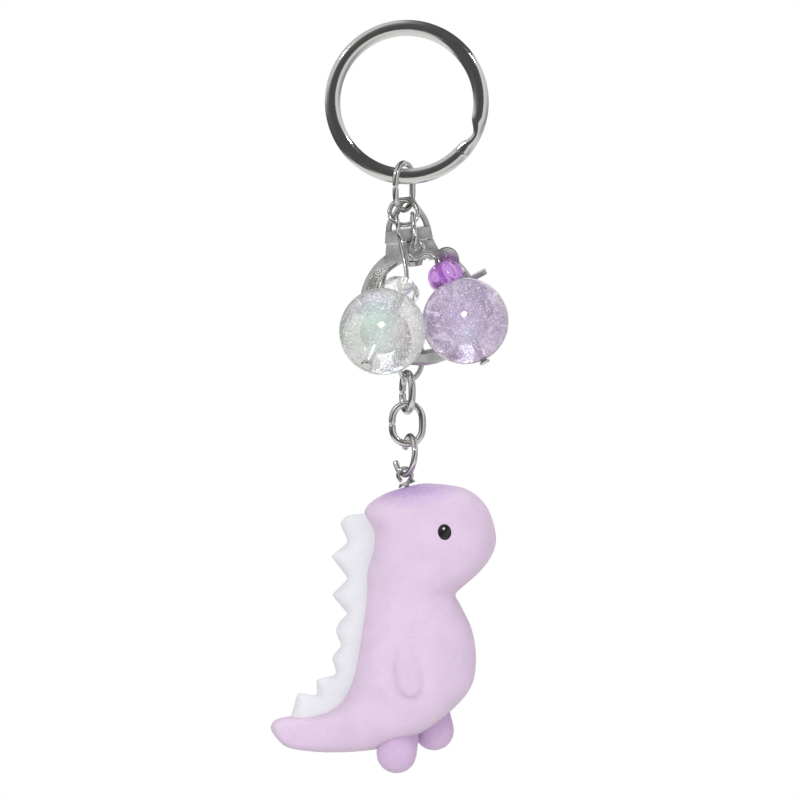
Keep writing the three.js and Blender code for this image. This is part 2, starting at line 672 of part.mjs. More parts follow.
// a rounded limb whose upper end is inside the body
function limb(ends, radius) {
  const from = new THREE.Vector3(...ends.from);
  const to = new THREE.Vector3(...ends.to);
  const geometry = new THREE.CapsuleGeometry(radius, from.distanceTo(to), 4, 12);
  const middle = from.clone().add(to).multiplyScalar(0.5);
  const direction = to.clone().sub(from).normalize();
  geometry.applyQuaternion(new THREE.Quaternion().setFromUnitVectors(new THREE.Vector3(0, -1, 0), direction));
  return meshed(solid(geometry.translate(middle.x, middle.y, middle.z)).subtract(grownFigure));
}

// an arm or an eye on one side of the body: side is -1 on the right and 1 on the left
function onSide(part, side, turn = 0) {
  const geometry = new THREE.SphereGeometry(1, 12, 8).scale(part.half.x, part.half.y, part.half.z);
  geometry.rotateY(turn * deg);
  geometry.translate(part.centre.x, side * part.centre.y, part.centre.z);
  return meshed(solid(geometry).subtract(grownFigure));
}

const figure = new THREE.Group();
figure.position.copy(headTopAt);
group.add(figure);

const socket = uprightBar(screwEye.socketRadius, 2 * screwEye.shank + 1, 14);
figure.add(named('dino_body', meshed(figureSolid(0).subtract(solid(socket))), lilacFlock));
figure.add(named('dino_crest', crest(), whiteFlock));
figure.add(named('dino_foot_right', limb(rightFoot, feet.radius), deepLilacFlock));
figure.add(named('dino_foot_left', limb(leftFoot, feet.radius), deepLilacFlock));
for (const [side, sign] of [['right', -1], ['left', 1]]) {
  figure.add(named(`dino_arm_${side}`, onSide(arm, sign, arm.turn), lilacFlock));
  figure.add(named(`dino_eye_${side}`, onSide(eyeDot, sign), blackGloss));
}

// the screw eye's washer sits on the head, its loop stands over it
const washer = uprightBar(screwEye.washerRadius, screwEye.washerHeight, 16, screwEye.washerRadius * 0.8);
const washerHole = uprightBar(screwEye.washerHole, 4, 12);
const washerMesh = named('screw_eye_washer', meshed(solid(washer).subtract(solid(washerHole))), nickel);
washerMesh.position.z = screwEye.washerLift;
washerMesh.rotation.y = screwEye.washerTilt * deg;
figure.add(washerMesh);

function screwEyeGeometry() {
  const loopTop = eyeTop.z - headTopAt.z;
  const centre = new THREE.Vector3(eyeTop.x - headTopAt.x, 0, loopTop - screwEye.radius);
  const shankHeights = [-screwEye.shank, -3, -1, 0, 0.5];
  const points = shankHeights.map((z) => new THREE.Vector3(0, 0, z));
  const steps = 12;
  for (let step = 0; step <= steps; step += 1) {
    const angle = (-58 + (300 * step) / steps) * deg;
    const around = new THREE.Vector3(Math.cos(angle), 0, Math.sin(angle));
    points.push(centre.clone().addScaledVector(around, screwEye.radius));
  }
  return sweepWire(new THREE.CatmullRomCurve3(points, false, 'centripetal'), screwEye.wire, 28);
}
figure.add(named('screw_eye', screwEyeGeometry(), nickel));

export default group;
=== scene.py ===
import json
import math
import random

import bmesh
import bpy
from mathutils import Matrix, Vector, noise

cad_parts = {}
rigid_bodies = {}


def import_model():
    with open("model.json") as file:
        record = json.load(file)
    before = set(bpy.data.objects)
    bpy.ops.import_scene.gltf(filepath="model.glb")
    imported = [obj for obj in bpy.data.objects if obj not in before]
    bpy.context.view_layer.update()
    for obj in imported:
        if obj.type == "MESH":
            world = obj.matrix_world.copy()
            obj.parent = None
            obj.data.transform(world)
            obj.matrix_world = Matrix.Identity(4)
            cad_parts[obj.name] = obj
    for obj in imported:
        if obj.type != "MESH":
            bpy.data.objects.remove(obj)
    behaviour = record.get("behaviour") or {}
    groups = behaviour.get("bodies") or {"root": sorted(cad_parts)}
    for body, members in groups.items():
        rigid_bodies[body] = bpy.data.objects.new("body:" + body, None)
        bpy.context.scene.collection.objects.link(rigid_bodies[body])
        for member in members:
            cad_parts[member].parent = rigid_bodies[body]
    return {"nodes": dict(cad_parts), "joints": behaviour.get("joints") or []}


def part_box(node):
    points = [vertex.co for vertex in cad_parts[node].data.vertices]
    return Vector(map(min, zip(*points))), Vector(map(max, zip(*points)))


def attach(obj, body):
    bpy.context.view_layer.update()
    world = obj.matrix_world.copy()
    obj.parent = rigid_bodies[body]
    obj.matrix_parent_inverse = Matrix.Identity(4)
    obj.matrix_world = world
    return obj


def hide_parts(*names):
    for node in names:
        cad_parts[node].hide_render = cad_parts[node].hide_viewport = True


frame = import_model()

bl_info = {
    "name": "Charm keyring",
    "version": (1, 0, 0),
    "blender": (4, 5, 0),
    "location": "3D View > Sidebar > Keyring",
    "description": "Builds the finished look of a charm keyring round its packed frame",
    "category": "Add Mesh",
}

MM = 0.001
FRONT = Vector((0, -1, 0))
RIGHT = Vector((1, 0, 0))
UP = Vector((0, 0, 1))


# ---------------------------------------------------------------- places taken from the frame
def joint(name):
    """Where a joint is, in metres, and which way its axis points."""
    for row in frame["joints"]:
        if row["name"] == name:
            return Vector(row["pos_m"]), Vector(row["axis"]).normalized()
    raise RuntimeError(f"the frame has no joint named {name}")


def placed(origin, up, side):
    """A matrix that takes millimetres to metres, local Z along up and local X as near side as it can be."""
    z = up.normalized()
    y = z.cross(side).normalized()
    x = y.cross(z)
    turn = Matrix((x, y, z)).transposed().to_4x4()
    return Matrix.Translation(origin) @ turn @ Matrix.Scale(MM, 4)


def figure_place():
    """The figure's own frame: where the screw eye enters the head, X forwards and Z up."""
    low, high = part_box("dino_body")
    top = bpy.context.scene.keyring_figure.top
    return placed(Vector((0, (low.y + high.y) / 2, top)), UP, RIGHT)


# ---------------------------------------------------------------- meshes
def keep(name, bm, material, body, replaces, sharp=None):
    """Makes a piece of a bmesh that is already in metres and in place."""
    mesh = bpy.data.meshes.new(name)
    bm.to_mesh(mesh)
    bm.free()
    mesh.shade_smooth()
    if sharp is not None:
        mesh.set_sharp_from_angle(angle=sharp)
    mesh.materials.append(material)
    piece = bpy.data.objects.new(name, mesh)
    bpy.context.scene.collection.objects.link(piece)
    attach(piece, body)
    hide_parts(*replaces)
    return piece


def merged_copy(node):
    """A bmesh of a CAD node with its loose triangles joined up."""
    bm = bmesh.new()
    bm.from_mesh(frame["nodes"][node].data)
    bmesh.ops.remove_doubles(bm, verts=bm.verts, dist=0.003 * MM)
    return bm


def fine_copy(node, body, material, fatten):
    """A smooth round version of a faceted wire piece."""
    bm = merged_copy(node)
    bmesh.ops.join_triangles(
        bm, faces=bm.faces, angle_face_threshold=math.radians(40), angle_shape_threshold=math.radians(80)
    )
    bm.normal_update()
    for vertex in bm.verts:
        vertex.co += vertex.normal * fatten * MM
    piece = keep(node + "_wire", bm, material, body, [node])
    modifier = piece.modifiers.new("Subdivision", "SUBSURF")
    modifier.levels = 2
    modifier.render_levels = 2
    return piece


def bevelled_copy(node, body, material, width):
    """A copy of a machined piece with its edges broken."""
    sharp = math.radians(32)
    bm = merged_copy(node)
    bmesh.ops.dissolve_limit(bm, angle_limit=math.radians(1), verts=bm.verts, edges=bm.edges)
    piece = keep(node + "_metal", bm, material, body, [node], sharp)
    modifier = piece.modifiers.new("Bevel", "BEVEL")
    modifier.width = width * MM
    modifier.segments = 2
    modifier.limit_method = "ANGLE"
    modifier.angle_limit = sharp
    modifier.harden_normals = True
    return piece


def spun(profile, steps):
    """A closed shape turned round Z from a closed outline of (radius, height) points."""
    bm = bmesh.new()
    verts = [bm.verts.new((radius, 0, height)) for radius, height in profile]
    for index, vertex in enumerate(verts):
        bm.edges.new((vertex, verts[(index + 1) % len(verts)]))
    bmesh.ops.spin(
        bm, geom=bm.verts[:] + bm.edges[:], cent=(0, 0, 0), axis=(0, 0, 1),
        angle=2 * math.pi, steps=steps, use_merge=True, use_normal_flip=False,
    )
    bmesh.ops.remove_doubles(bm, verts=bm.verts, dist=1e-4)
    bmesh.ops.recalc_face_normals(bm, faces=bm.faces)
    return bm


def smoothed(bm, passes):
    """Evens a skin out: each vertex moves half way to the middle of its neighbours."""
    for _ in range(passes):
        bmesh.ops.smooth_vert(
            bm, verts=bm.verts, factor=0.5, use_axis_x=True, use_axis_y=True, use_axis_z=True
        )
    return bm


def remeshed(bm, voxel, passes):
    """The bmesh, in millimetres, as one even skin: its edges and creases come out round."""
    mesh = bpy.data.meshes.new("form")
    bm.to_mesh(mesh)
    bm.free()
    holder = bpy.data.objects.new("form", mesh)
    bpy.context.scene.collection.objects.link(holder)
    modifier = holder.modifiers.new("Remesh", "REMESH")
    modifier.mode = "VOXEL"
    modifier.voxel_size = voxel
    evaluated = holder.evaluated_get(bpy.context.evaluated_depsgraph_get())
    skin = bmesh.new()
    skin.from_mesh(evaluated.to_mesh())
    evaluated.to_mesh_clear()
    bpy.data.objects.remove(holder)
    bpy.data.meshes.remove(mesh)
    return smoothed(skin, passes)


# ---------------------------------------------------------------- materials
def darker(color, share):
    """A colour with each channel at this share of itself."""
    return tuple(share * channel for channel in color)


class Finish:
    """A material with a Principled shader, and short ways to add procedural nodes to it."""

    def __init__(self, name, color, roughness, metallic=0.0):
        self.material = bpy.data.materials.new(name)
        self.material.use_nodes = True
        self.tree = self.material.node_tree
        self.shader = self.tree.nodes["Principled BSDF"]
        self.shader.inputs["Base Color"].default_value = (*color, 1)
        self.shader.inputs["Roughness"].default_value = roughness
        self.shader.inputs["Metallic"].default_value = metallic
        self.place = self.node("ShaderNodeTexCoord").outputs["Object"]

    def node(self, kind, **settings):
        """A new node with these properties set."""
        node = self.tree.nodes.new(kind)
        for key, value in settings.items():
            setattr(node, key, value)
        return node

    def link(self, source, target):
        """Joins an output socket to an input socket."""
        self.tree.links.new(source, target)

    def set(self, **values):
        """Sets shader sockets by name, spaces written as underscores."""
        for key, value in values.items():
            self.shader.inputs[key.replace("_", " ")].default_value = value

    def noise(self, size, detail=2.0):
        """A noise whose blotches are about size millimetres."""
        node = self.node("ShaderNodeTexNoise")
        node.inputs["Scale"].default_value = 1 / (size * MM)
        node.inputs["Detail"].default_value = detail
        self.link(self.place, node.inputs["Vector"])
        return node.outputs["Fac"]

    def ranged(self, value, low, high, to_low=0.0, to_high=1.0):
        """A value brought from one range into another, and held inside it."""
        node = self.node("ShaderNodeMapRange")
        node.inputs["From Min"].default_value = low
        node.inputs["From Max"].default_value = high
        node.inputs["To Min"].default_value = to_low
        node.inputs["To Max"].default_value = to_high
        self.link(value, node.inputs["Value"])
        return node.outputs["Result"]

    def mixed(self, factor, first, second):
        """One colour or the other, by a factor socket. Either may be a colour or a socket."""
        node = self.node("ShaderNodeMix", data_type="RGBA")
        self.link(factor, node.inputs[0])
        for socket, value in ((node.inputs[6], first), (node.inputs[7], second)):
            if isinstance(value, tuple):
                socket.default_value = (*value, 1)
            else:
                self.link(value, socket)
        return node.outputs[2]

    def times(self, first, second, clamp=False):
        """One socket times another."""
        node = self.node("ShaderNodeMath", operation="MULTIPLY", use_clamp=clamp)
        self.link(first, node.inputs[0])
        self.link(second, node.inputs[1])
        return node.outputs[0]

    def nearness(self, point, reach, full, stretch=(1, 1, 1)):
        """1 within full of a point and 0 beyond reach, in metres."""
        mapping = self.node("ShaderNodeMapping", vector_type="POINT")
        mapping.inputs["Scale"].default_value = stretch
        mapping.inputs["Location"].default_value = [-p * s for p, s in zip(point, stretch)]
        self.link(self.place, mapping.inputs["Vector"])
        length = self.node("ShaderNodeVectorMath", operation="LENGTH")
        self.link(mapping.outputs["Vector"], length.inputs[0])
        return self.ranged(length.outputs["Value"], full, reach, 1.0, 0.0)

    def bump(self, height, strength, distance):
        """Bumps the surface by a height socket, over a distance in millimetres."""
        node = self.node("ShaderNodeBump")
        node.inputs["Strength"].default_value = strength
        node.inputs["Distance"].default_value = distance * MM
        self.link(height, node.inputs["Height"])
        self.link(node.outputs["Normal"], self.shader.inputs["Normal"])

    def color(self, socket):
        """Takes the surface's colour from a socket."""
        self.link(socket, self.shader.inputs["Base Color"])


def nickel_plate(name, roughness, color=(0.66, 0.66, 0.64)):
    """Polished nickel with the dulling and fine unevenness of handled plate."""
    finish = Finish(name, color, roughness, 1.0)
    handling = finish.ranged(finish.noise(2.5, 4.0), 0.35, 0.7, roughness * 0.7, roughness * 2.2)
    finish.link(handling, finish.shader.inputs["Roughness"])
    finish.bump(finish.noise(0.22, 3.0), 0.30, 0.012)
    return finish.material


PILE = 0.3  # the size of the flocking's fibres, in millimetres


def flocking(name, color, deep, wear=(0.42, 0.355, 0.37), stain_and_shadow=None):
    """Short flocking: a mottled colour, a fine pile, a soft sheen, greyer where it is worn and where
    painted shade darkens its rims and underside.

    The darker patch is (point, reach, how it is stretched, tint): a real stain round the screw eye on the
    body, and a painted contact shadow where each foot meets the body.
    """
    finish = Finish(name, color, 0.92)
    finish.set(Sheen_Weight=0.12, Sheen_Roughness=0.5, Sheen_Tint=(1, 0.97, 1, 1), Specular_IOR_Level=0.12)
    blotches = finish.ranged(finish.noise(5.0, 4.0), 0.38, 0.68)
    shade = finish.mixed(blotches, color, deep)
    pale = tuple(min(1.0, channel * 1.08 + 0.04) for channel in color)
    fibres = finish.ranged(finish.noise(PILE, 2.0), 0.52, 0.74, 0.0, 0.4)
    shade = finish.mixed(fibres, shade, pale)
    gaps = finish.ranged(finish.noise(0.8 * PILE, 1.0), 0.46, 0.30, 0.0, 0.22)
    shade = finish.mixed(gaps, shade, darker(color, 0.86))
    # wear and painted shade: the flocking turns grey on its rims, its underside and low down, partly real
    # wear and partly painted shade
    amount = finish.node("ShaderNodeAttribute", attribute_name="wear").outputs["Fac"]
    patches = finish.ranged(finish.noise(0.5, 3.0), 0.36, 0.62, 0.4, 1.0)
    shade = finish.mixed(finish.times(amount, patches), shade, wear)
    # a darker patch: a real stain round the screw eye on the body, and a painted contact shadow on each
    # foot
    if stain_and_shadow:
        point, reach, stretch, tint = stain_and_shadow
        near = finish.nearness(point, reach, 0.0, stretch)
        edges = finish.ranged(finish.noise(1.4, 3.0), 0.34, 0.6, 0.55, 1.25)
        shade = finish.mixed(finish.times(near, edges, clamp=True), shade, tint)
    finish.color(shade)
    finish.bump(finish.noise(PILE, 3.0), 0.6, 0.12)
    return finish.material


def acrylic(name, color, transmission, roughness=0.03):
    """The start of a clear acrylic finish."""
    finish = Finish(name, color, roughness)
    finish.set(IOR=1.49, Transmission_Weight=transmission, Specular_IOR_Level=0.6)
    return finish


def glitter_acrylic(name, color, pearl_and_painted_shade, centre, transmission):
    """Clear acrylic with milky bands of pearl colour, dark bands of painted shade, and fine bright specks.
    """
    finish = acrylic(name, color, transmission, 0.03)
    finish.set(Thin_Film_Thickness=380.0, Thin_Film_IOR=1.62, Coat_Weight=0.4, Coat_Roughness=0.02)
    shade = color
    for offset, reach, tint, amount in pearl_and_painted_shade:
        point = centre + Vector(offset) * MM
        near = finish.nearness(point, reach * MM, 0.0)
        weight = finish.ranged(near, 0.0, 1.0, 0.0, amount)
        shade = finish.mixed(weight, shade, tint)
    specks = finish.ranged(finish.noise(0.2, 0.0), 0.66, 0.72)
    shade = finish.mixed(specks, shade, (1.0, 1.0, 1.0))
    dark = finish.ranged(finish.noise(0.26, 0.0), 0.34, 0.28, 0.0, 0.35)
    shade = finish.mixed(dark, shade, darker(color, 0.6))
    finish.color(shade)
    solidity = finish.ranged(finish.noise(0.24, 1.0), 0.6, 0.72, transmission, transmission - 0.45)
    finish.link(solidity, finish.shader.inputs["Transmission Weight"])
    return finish.material


def gloss_black():
    """Shiny black, as of painted eyes."""
    finish = Finish("black gloss", (0.012, 0.011, 0.014), 0.12)
    finish.set(Coat_Weight=0.15, Coat_Roughness=0.1, Specular_IOR_Level=0.3)
    finish.bump(finish.noise(0.8, 1.0), 0.05, 0.02)
    return finish.material


def flake():
    """Glitter flakes: foil with a painted glow, a faint light of its own that stands in for sparkle."""
    finish = Finish("glitter foil", (0.95, 0.95, 0.95), 0.25, 0.4)
    # painted glow: the flakes give off a little light of their own in place of their sparkle
    finish.set(Emission_Color=(1, 0.97, 1, 1), Emission_Strength=0.45)
    tone = finish.ranged(finish.noise(1.2, 0.0), 0.35, 0.65)
    finish.color(finish.mixed(tone, (1.0, 0.86, 0.93), (0.86, 0.95, 1.0)))
    return finish.material


# ---------------------------------------------------------------- what a user may change
class SplitRingSizes(bpy.types.PropertyGroup):
    """The split ring's wire, as it is bent."""

    radius: bpy.props.FloatProperty(
        name="Outer radius", description="Radius over the outside of the ring", default=15.2 * MM,
        subtype="DISTANCE", unit="LENGTH",
    )
    band: bpy.props.FloatProperty(
        name="Band", description="Width of the flat wire", default=2.85 * MM,
        subtype="DISTANCE", unit="LENGTH",
    )
    coil: bpy.props.FloatProperty(
        name="Coil", description="Thickness of one turn", default=1.15 * MM,
        subtype="DISTANCE", unit="LENGTH",
    )


class BeadSizes(bpy.types.PropertyGroup):
    """The two kinds of bead."""

    radius: bpy.props.FloatProperty(
        name="Large bead", description="Radius of a large bead", default=7.95 * MM,
        subtype="DISTANCE", unit="LENGTH",
    )
    core: bpy.props.FloatProperty(
        name="Core", description="Radius of the ball inside a large bead", default=2.75 * MM,
        subtype="DISTANCE", unit="LENGTH",
    )
    small: bpy.props.FloatProperty(
        name="Small bead", description="Radius of a small bead over its lobes", default=3.5 * MM,
        subtype="DISTANCE", unit="LENGTH",
    )
    flakes: bpy.props.IntProperty(
        name="Glitter", description="Number of glitter flakes in a large bead", default=1100, min=0,
    )


class FigureColors(bpy.types.PropertyGroup):
    """Where the figure hangs and the colours of its flocking."""

    top: bpy.props.FloatProperty(
        name="Top", description="Height at which the screw eye enters the head", default=-84.1 * MM,
        subtype="DISTANCE", unit="LENGTH",
    )
    body: bpy.props.FloatVectorProperty(
        name="Body", description="Flocking of the body", default=(0.80, 0.635, 0.83), subtype="COLOR",
        min=0, max=1,
    )
    feet: bpy.props.FloatVectorProperty(
        name="Feet", description="Flocking of the feet", default=(0.70, 0.51, 0.75), subtype="COLOR",
        min=0, max=1,
    )
    crest: bpy.props.FloatVectorProperty(
        name="Crest", description="Flocking of the crest", default=(0.86, 0.86, 0.91), subtype="COLOR",
        min=0, max=1,
    )


# ---------------------------------------------------------------- split ring
RING_STEP_FROM = -12.0  # where the back coil ends, in degrees from the right
RING_STEP_TO = -40.0  # where the front coil ends
RING_STEP_PINCH = 0.42  # how much narrower the band is where it crosses over
RING_COIL_GAP = 0.1
RING_STEPS = 300


def crowned_section(band, coil):
    """One turn's section, (inwards from its outer edge, along Y): flat edges and crowned faces."""
    crown = 0.44
    steps = 10
    outline = []
    for face in (-1, 1):
        for step in range(steps + 1):
            across = face * (2 * step / steps - 1)
            lift = coil / 2 - crown * abs(across) ** 2.6
            outline.append((band * (0.5 + 0.5 * across), face * lift))
    return outline


def ring_turns(sizes):
    """Yields (angle, share of the band's width kept, place along Y) round both turns."""
    turn = 360 - (RING_STEP_FROM - RING_STEP_TO)
    whole = 2 * turn + (RING_STEP_FROM - RING_STEP_TO)
    relief = 2
    rounding = 1.6
    shift = sizes.coil / MM + RING_COIL_GAP
    for step in range(RING_STEPS + 1):
        swept = relief + (whole - 2 * relief) * step / RING_STEPS
        share = min(1.0, max(0.0, (swept - turn) / (whole - 2 * turn)))
        crossed = share * share * (3 - 2 * share)
        end = min(swept - relief, whole - relief - swept) / rounding
        blunt = 1 - 0.5 * (1 - min(1.0, end)) ** 2
        kept = blunt * (1 - RING_STEP_PINCH * math.sin(math.pi * crossed))
        yield math.radians(RING_STEP_TO - swept), kept, shift * (crossed - 0.5)


class KEYRING_OT_split_ring(bpy.types.Operator):
    """Builds the polished split ring from two crowned turns"""

    bl_idname = "keyring.split_ring"
    bl_label = "Split ring"

    def execute(self, context):
        sizes = context.scene.keyring_ring
        band = sizes.band / MM
        coil = sizes.coil / MM
        section = crowned_section(band, coil)
        outer = sizes.radius / MM
        bm = bmesh.new()
        previous = None
        first = None
        for angle, kept, depth in ring_turns(sizes):
            loop = []
            for inwards, lift in section:
                reach = outer - inwards * kept
                spot = (reach * math.cos(angle), depth + lift, reach * math.sin(angle))
                loop.append(bm.verts.new(spot))
            edges = [bm.edges.new((loop[i], loop[(i + 1) % len(loop)])) for i in range(len(loop))]
            if previous:
                bmesh.ops.bridge_loops(bm, edges=previous + edges)
            else:
                first = edges
            previous = edges
        bmesh.ops.edgeloop_fill(bm, edges=first)
        bmesh.ops.edgeloop_fill(bm, edges=previous)
        bmesh.ops.recalc_face_normals(bm, faces=bm.faces)
        centre = Vector((0, 0, sizes.band - sizes.radius))
        bm.transform(placed(centre, UP, RIGHT))
        material = nickel_plate("ring nickel", 0.07)
        keep("split_ring_turns", bm, material, "ring", ["split_ring"], math.radians(38))
        return {"FINISHED"}


# ---------------------------------------------------------------- wires and clasp
WIRES = {
    # node: (body, how much the smooth wire is fattened, in millimetres)
    "top_link": ("top_link", 0.01),
    "jump_ring": ("jump_ring", -0.04),
    "violet_link": ("violet_link", -0.04),
    "clear_pin": ("clear_pin", 0.05),
    "violet_pin": ("violet_pin", -0.03),
    "chain_ring": ("chain_ring", 0.015),
    "chain_link_upper": ("upper_link", 0.065),
    "chain_link_lower": ("lower_link", 0.065),
    "open_jump_ring": ("open_ring", 0.055),
    "screw_eye": ("dino", 0.04),
    "clasp_spring": ("clasp", 0.0),
}


class KEYRING_OT_wires(bpy.types.Operator):
    """Builds the round wire of the links, rings, pins and the screw eye"""

    bl_idname = "keyring.wires"
    bl_label = "Links, rings and pins"

    def execute(self, context):
        material = nickel_plate("wire nickel", 0.12)
        for node, (body, fatten) in WIRES.items():
            fine_copy(node, body, material, fatten)
        return {"FINISHED"}


class KEYRING_OT_clasp(bpy.types.Operator):
    """Builds the clasp's eye, body, lever and rivet"""

    bl_idname = "keyring.clasp"
    bl_label = "Clasp"

    def execute(self, context):
        material = nickel_plate("clasp nickel", 0.16, (0.50, 0.50, 0.49))
        for node, body, width in (
            ("clasp_eye", "clasp_eye", 0.1),
            ("clasp_body", "clasp", 0.16),
            ("clasp_lever", "lever", 0.14),
            ("clasp_pivot_pin", "clasp", 0.12),
            ("screw_eye_washer", "dino", 0.12),
        ):
            bevelled_copy(node, body, material, width)
        return {"FINISHED"}


# ---------------------------------------------------------------- beads
BORE = 0.62
SMALL_BORE = 0.8
SMALL_BEAD_HALF = 2.7
LOBES = 5
LOBE_DEPTH = 0.17  # how far the bead draws in between its lobes, as a share
BEAD_GAP = 0.05  # between a small bead's dished end and the large bead
WALL_CLEARANCE = (0.5, 0.15)  # between the glitter and the ball inside, and the outside
FLAKE_RADII = (0.06, 0.15)
FLAKE_DEPTH = 0.025


def ball_profile(radius, height, bore, steps):
    """A ball's outline with a bore through it, from the bottom of the bore up round the outside."""
    mouth = math.acos(bore / radius)
    points = []
    for step in range(steps + 1):
        angle = mouth * (2 * step / steps - 1)
        points.append((radius * math.cos(angle), height * math.sin(angle)))
    return points


def glitter(centre, inner, outer, count, seed):
    """Thin foil flakes scattered in the wall of a bead."""
    draw = random.Random(seed)
    bm = bmesh.new()
    for _ in range(count):
        direction = Vector((draw.gauss(0, 1), draw.gauss(0, 1), draw.gauss(0, 1))).normalized()
        reach = inner + (outer - inner) * draw.random() ** 0.5
        tip = Matrix.Rotation(draw.uniform(0, math.pi), 4, "X")
        roll = Matrix.Rotation(draw.uniform(0, math.pi), 4, "Y")
        size = draw.uniform(*FLAKE_RADII)
        place = Matrix.Translation(direction * reach) @ (tip @ roll)
        bmesh.ops.create_cone(
            bm, cap_ends=True, segments=5, radius1=size, radius2=size, depth=FLAKE_DEPTH, matrix=place
        )
    bm.transform(Matrix.Translation(centre) @ Matrix.Scale(MM, 4))
    return bm


# The look of each drop. The list of pearl tints and painted shade holds bands: where each is strongest,
# in millimetres from the bead's centre, how far it reaches, its colour, and how strong it is.
# All are milky pearl tints but the violet bead's dark band on its right, which is painted shade.
DROPS = {
    "clear": {
        "tint": (0.64, 0.665, 0.63),
        "clearness": 0.70,
        "milk": (0.72, 0.78, 0.78),
        "small_tint": (0.93, 0.95, 0.93),
        "small_slot": "clear_acrylic",
        "nestle": 0.0,  # how far the small bead sinks towards the large one
        "seed": 7,
        "pearl_and_painted_shade": [
            ((-2, -6, 6.5), 6.0, (0.80, 0.66, 0.74), 0.7),
            ((-1, -6, 4.6), 5.0, (0.60, 0.66, 0.86), 0.75),
            ((-1.5, -7, 2.2), 4.2, (0.60, 0.84, 0.66), 0.8),
            ((4.6, -6.3, 0), 3.6, (0.90, 0.70, 0.76), 0.7),
            ((0.5, -5.5, -6), 4.4, (0.84, 0.70, 0.78), 0.5),
            ((-0.8, -7.4, -2.1), 3.3, (0.80, 0.88, 0.87), 0.9),
        ],
    },
    "violet": {
        "tint": (0.58, 0.49, 0.64),
        "clearness": 0.66,
        "milk": (0.70, 0.63, 0.80),
        "small_tint": (0.60, 0.30, 0.74),
        "small_slot": "purple_acrylic",
        "nestle": 0.8,
        "seed": 8,
        "pearl_and_painted_shade": [
            ((3, -5, 6), 5.5, (0.62, 0.56, 0.80), 0.7),
            # painted shade: the dark refraction down the violet bead's right side
            ((5.9, -4.8, 0.5), 5.2, (0.44, 0.33, 0.45), 0.9),
            ((-4, -6, 1), 5.5, (0.66, 0.50, 0.78), 0.5),
            ((-0.2, -7.4, -2.1), 3.3, (0.78, 0.76, 0.90), 0.9),
        ],
    },
}
BEAD_SHARP = math.radians(50)


def milky(name, color):
    """The milky acrylic of the ball inside a large bead."""
    finish = acrylic(name, color, 0.3, 0.12)
    finish.set(Coat_Weight=0.5)
    finish.bump(finish.noise(0.6, 1.0), 0.05, 0.03)
    return finish.material


def glass(name, color):
    """The clear acrylic of a small bead."""
    finish = acrylic(name, color, 0.88, 0.04)
    finish.bump(finish.noise(1.5, 1.0), 0.1, 0.05)
    return finish.material


class KEYRING_OT_large_beads(bpy.types.Operator):
    """Builds the two large glitter beads with the ball inside each"""

    bl_idname = "keyring.large_beads"
    bl_label = "Large beads"

    def execute(self, context):
        sizes = context.scene.keyring_beads
        radius = sizes.radius / MM
        core = sizes.core / MM
        glowing_foil = flake()
        for prefix, look in DROPS.items():
            centre, up = joint(prefix + "_large_spin")
            body = prefix + "_large"
            shell = spun(ball_profile(radius, radius, BORE, 72), 96)
            shell.transform(placed(centre, up, RIGHT))
            material = glitter_acrylic(
                prefix + " glitter acrylic", look["tint"], look["pearl_and_painted_shade"], centre, look["clearness"]
            )
            keep(prefix + "_bead", shell, material, body, [prefix + "_bead_shell"], BEAD_SHARP)
            ball = spun(ball_profile(core, core, BORE, 36), 48)
            ball.transform(placed(centre, up, RIGHT))
            inside = milky(prefix + " milky core", look["milk"])
            nodes = [prefix + "_bead_core"]
            keep(prefix + "_core", ball, inside, body, nodes, BEAD_SHARP)
            inner = core + WALL_CLEARANCE[0]
            outer = radius - WALL_CLEARANCE[1]
            flakes = glitter(centre, inner, outer, sizes.flakes, look["seed"])
            keep(prefix + "_glitter", flakes, glowing_foil, body, [], math.radians(30))
        return {"FINISHED"}


def lobed(radius):
    """A small bead: a bored ball with hollows drawn in between its lobes."""
    bm = spun(ball_profile(radius, SMALL_BEAD_HALF, SMALL_BORE, 24), 80)
    for vertex in bm.verts:
        reach = math.hypot(vertex.co.x, vertex.co.y)
        outward = max(0.0, (reach - SMALL_BORE) / (radius - SMALL_BORE))
        wave = 0.5 - 0.5 * math.cos(LOBES * math.atan2(vertex.co.y, vertex.co.x))
        squeeze = 1 - LOBE_DEPTH * outward * wave
        vertex.co.x *= squeeze
        vertex.co.y *= squeeze
    return bm


def dished(bm, height, radius):
    """Lifts what would go into a ball of this radius that lies height below the bmesh's origin."""
    for vertex in bm.verts:
        aside = math.hypot(vertex.co.x, vertex.co.y)
        floor = math.sqrt(radius * radius - aside * aside) - height
        vertex.co.z = max(vertex.co.z, floor)
    return bm


class KEYRING_OT_small_beads(bpy.types.Operator):
    """Builds the two small lobed beads"""

    bl_idname = "keyring.small_beads"
    bl_label = "Small beads"

    def execute(self, context):
        sizes = context.scene.keyring_beads
        for prefix, look in DROPS.items():
            centre, up = joint(prefix + "_small_spin")
            large, _ = joint(prefix + "_large_spin")
            height = (centre - large).length / MM - look["nestle"]
            bm = dished(lobed(sizes.small / MM), height, sizes.radius / MM + BEAD_GAP)
            bm.transform(placed(centre - up * look["nestle"] * MM, up, RIGHT))
            material = glass(prefix + " small acrylic", look["small_tint"])
            body = prefix + "_small"
            nodes = [prefix + "_small_bead"]
            keep(prefix + "_lobed_bead", bm, material, body, nodes, BEAD_SHARP)
        return {"FINISHED"}


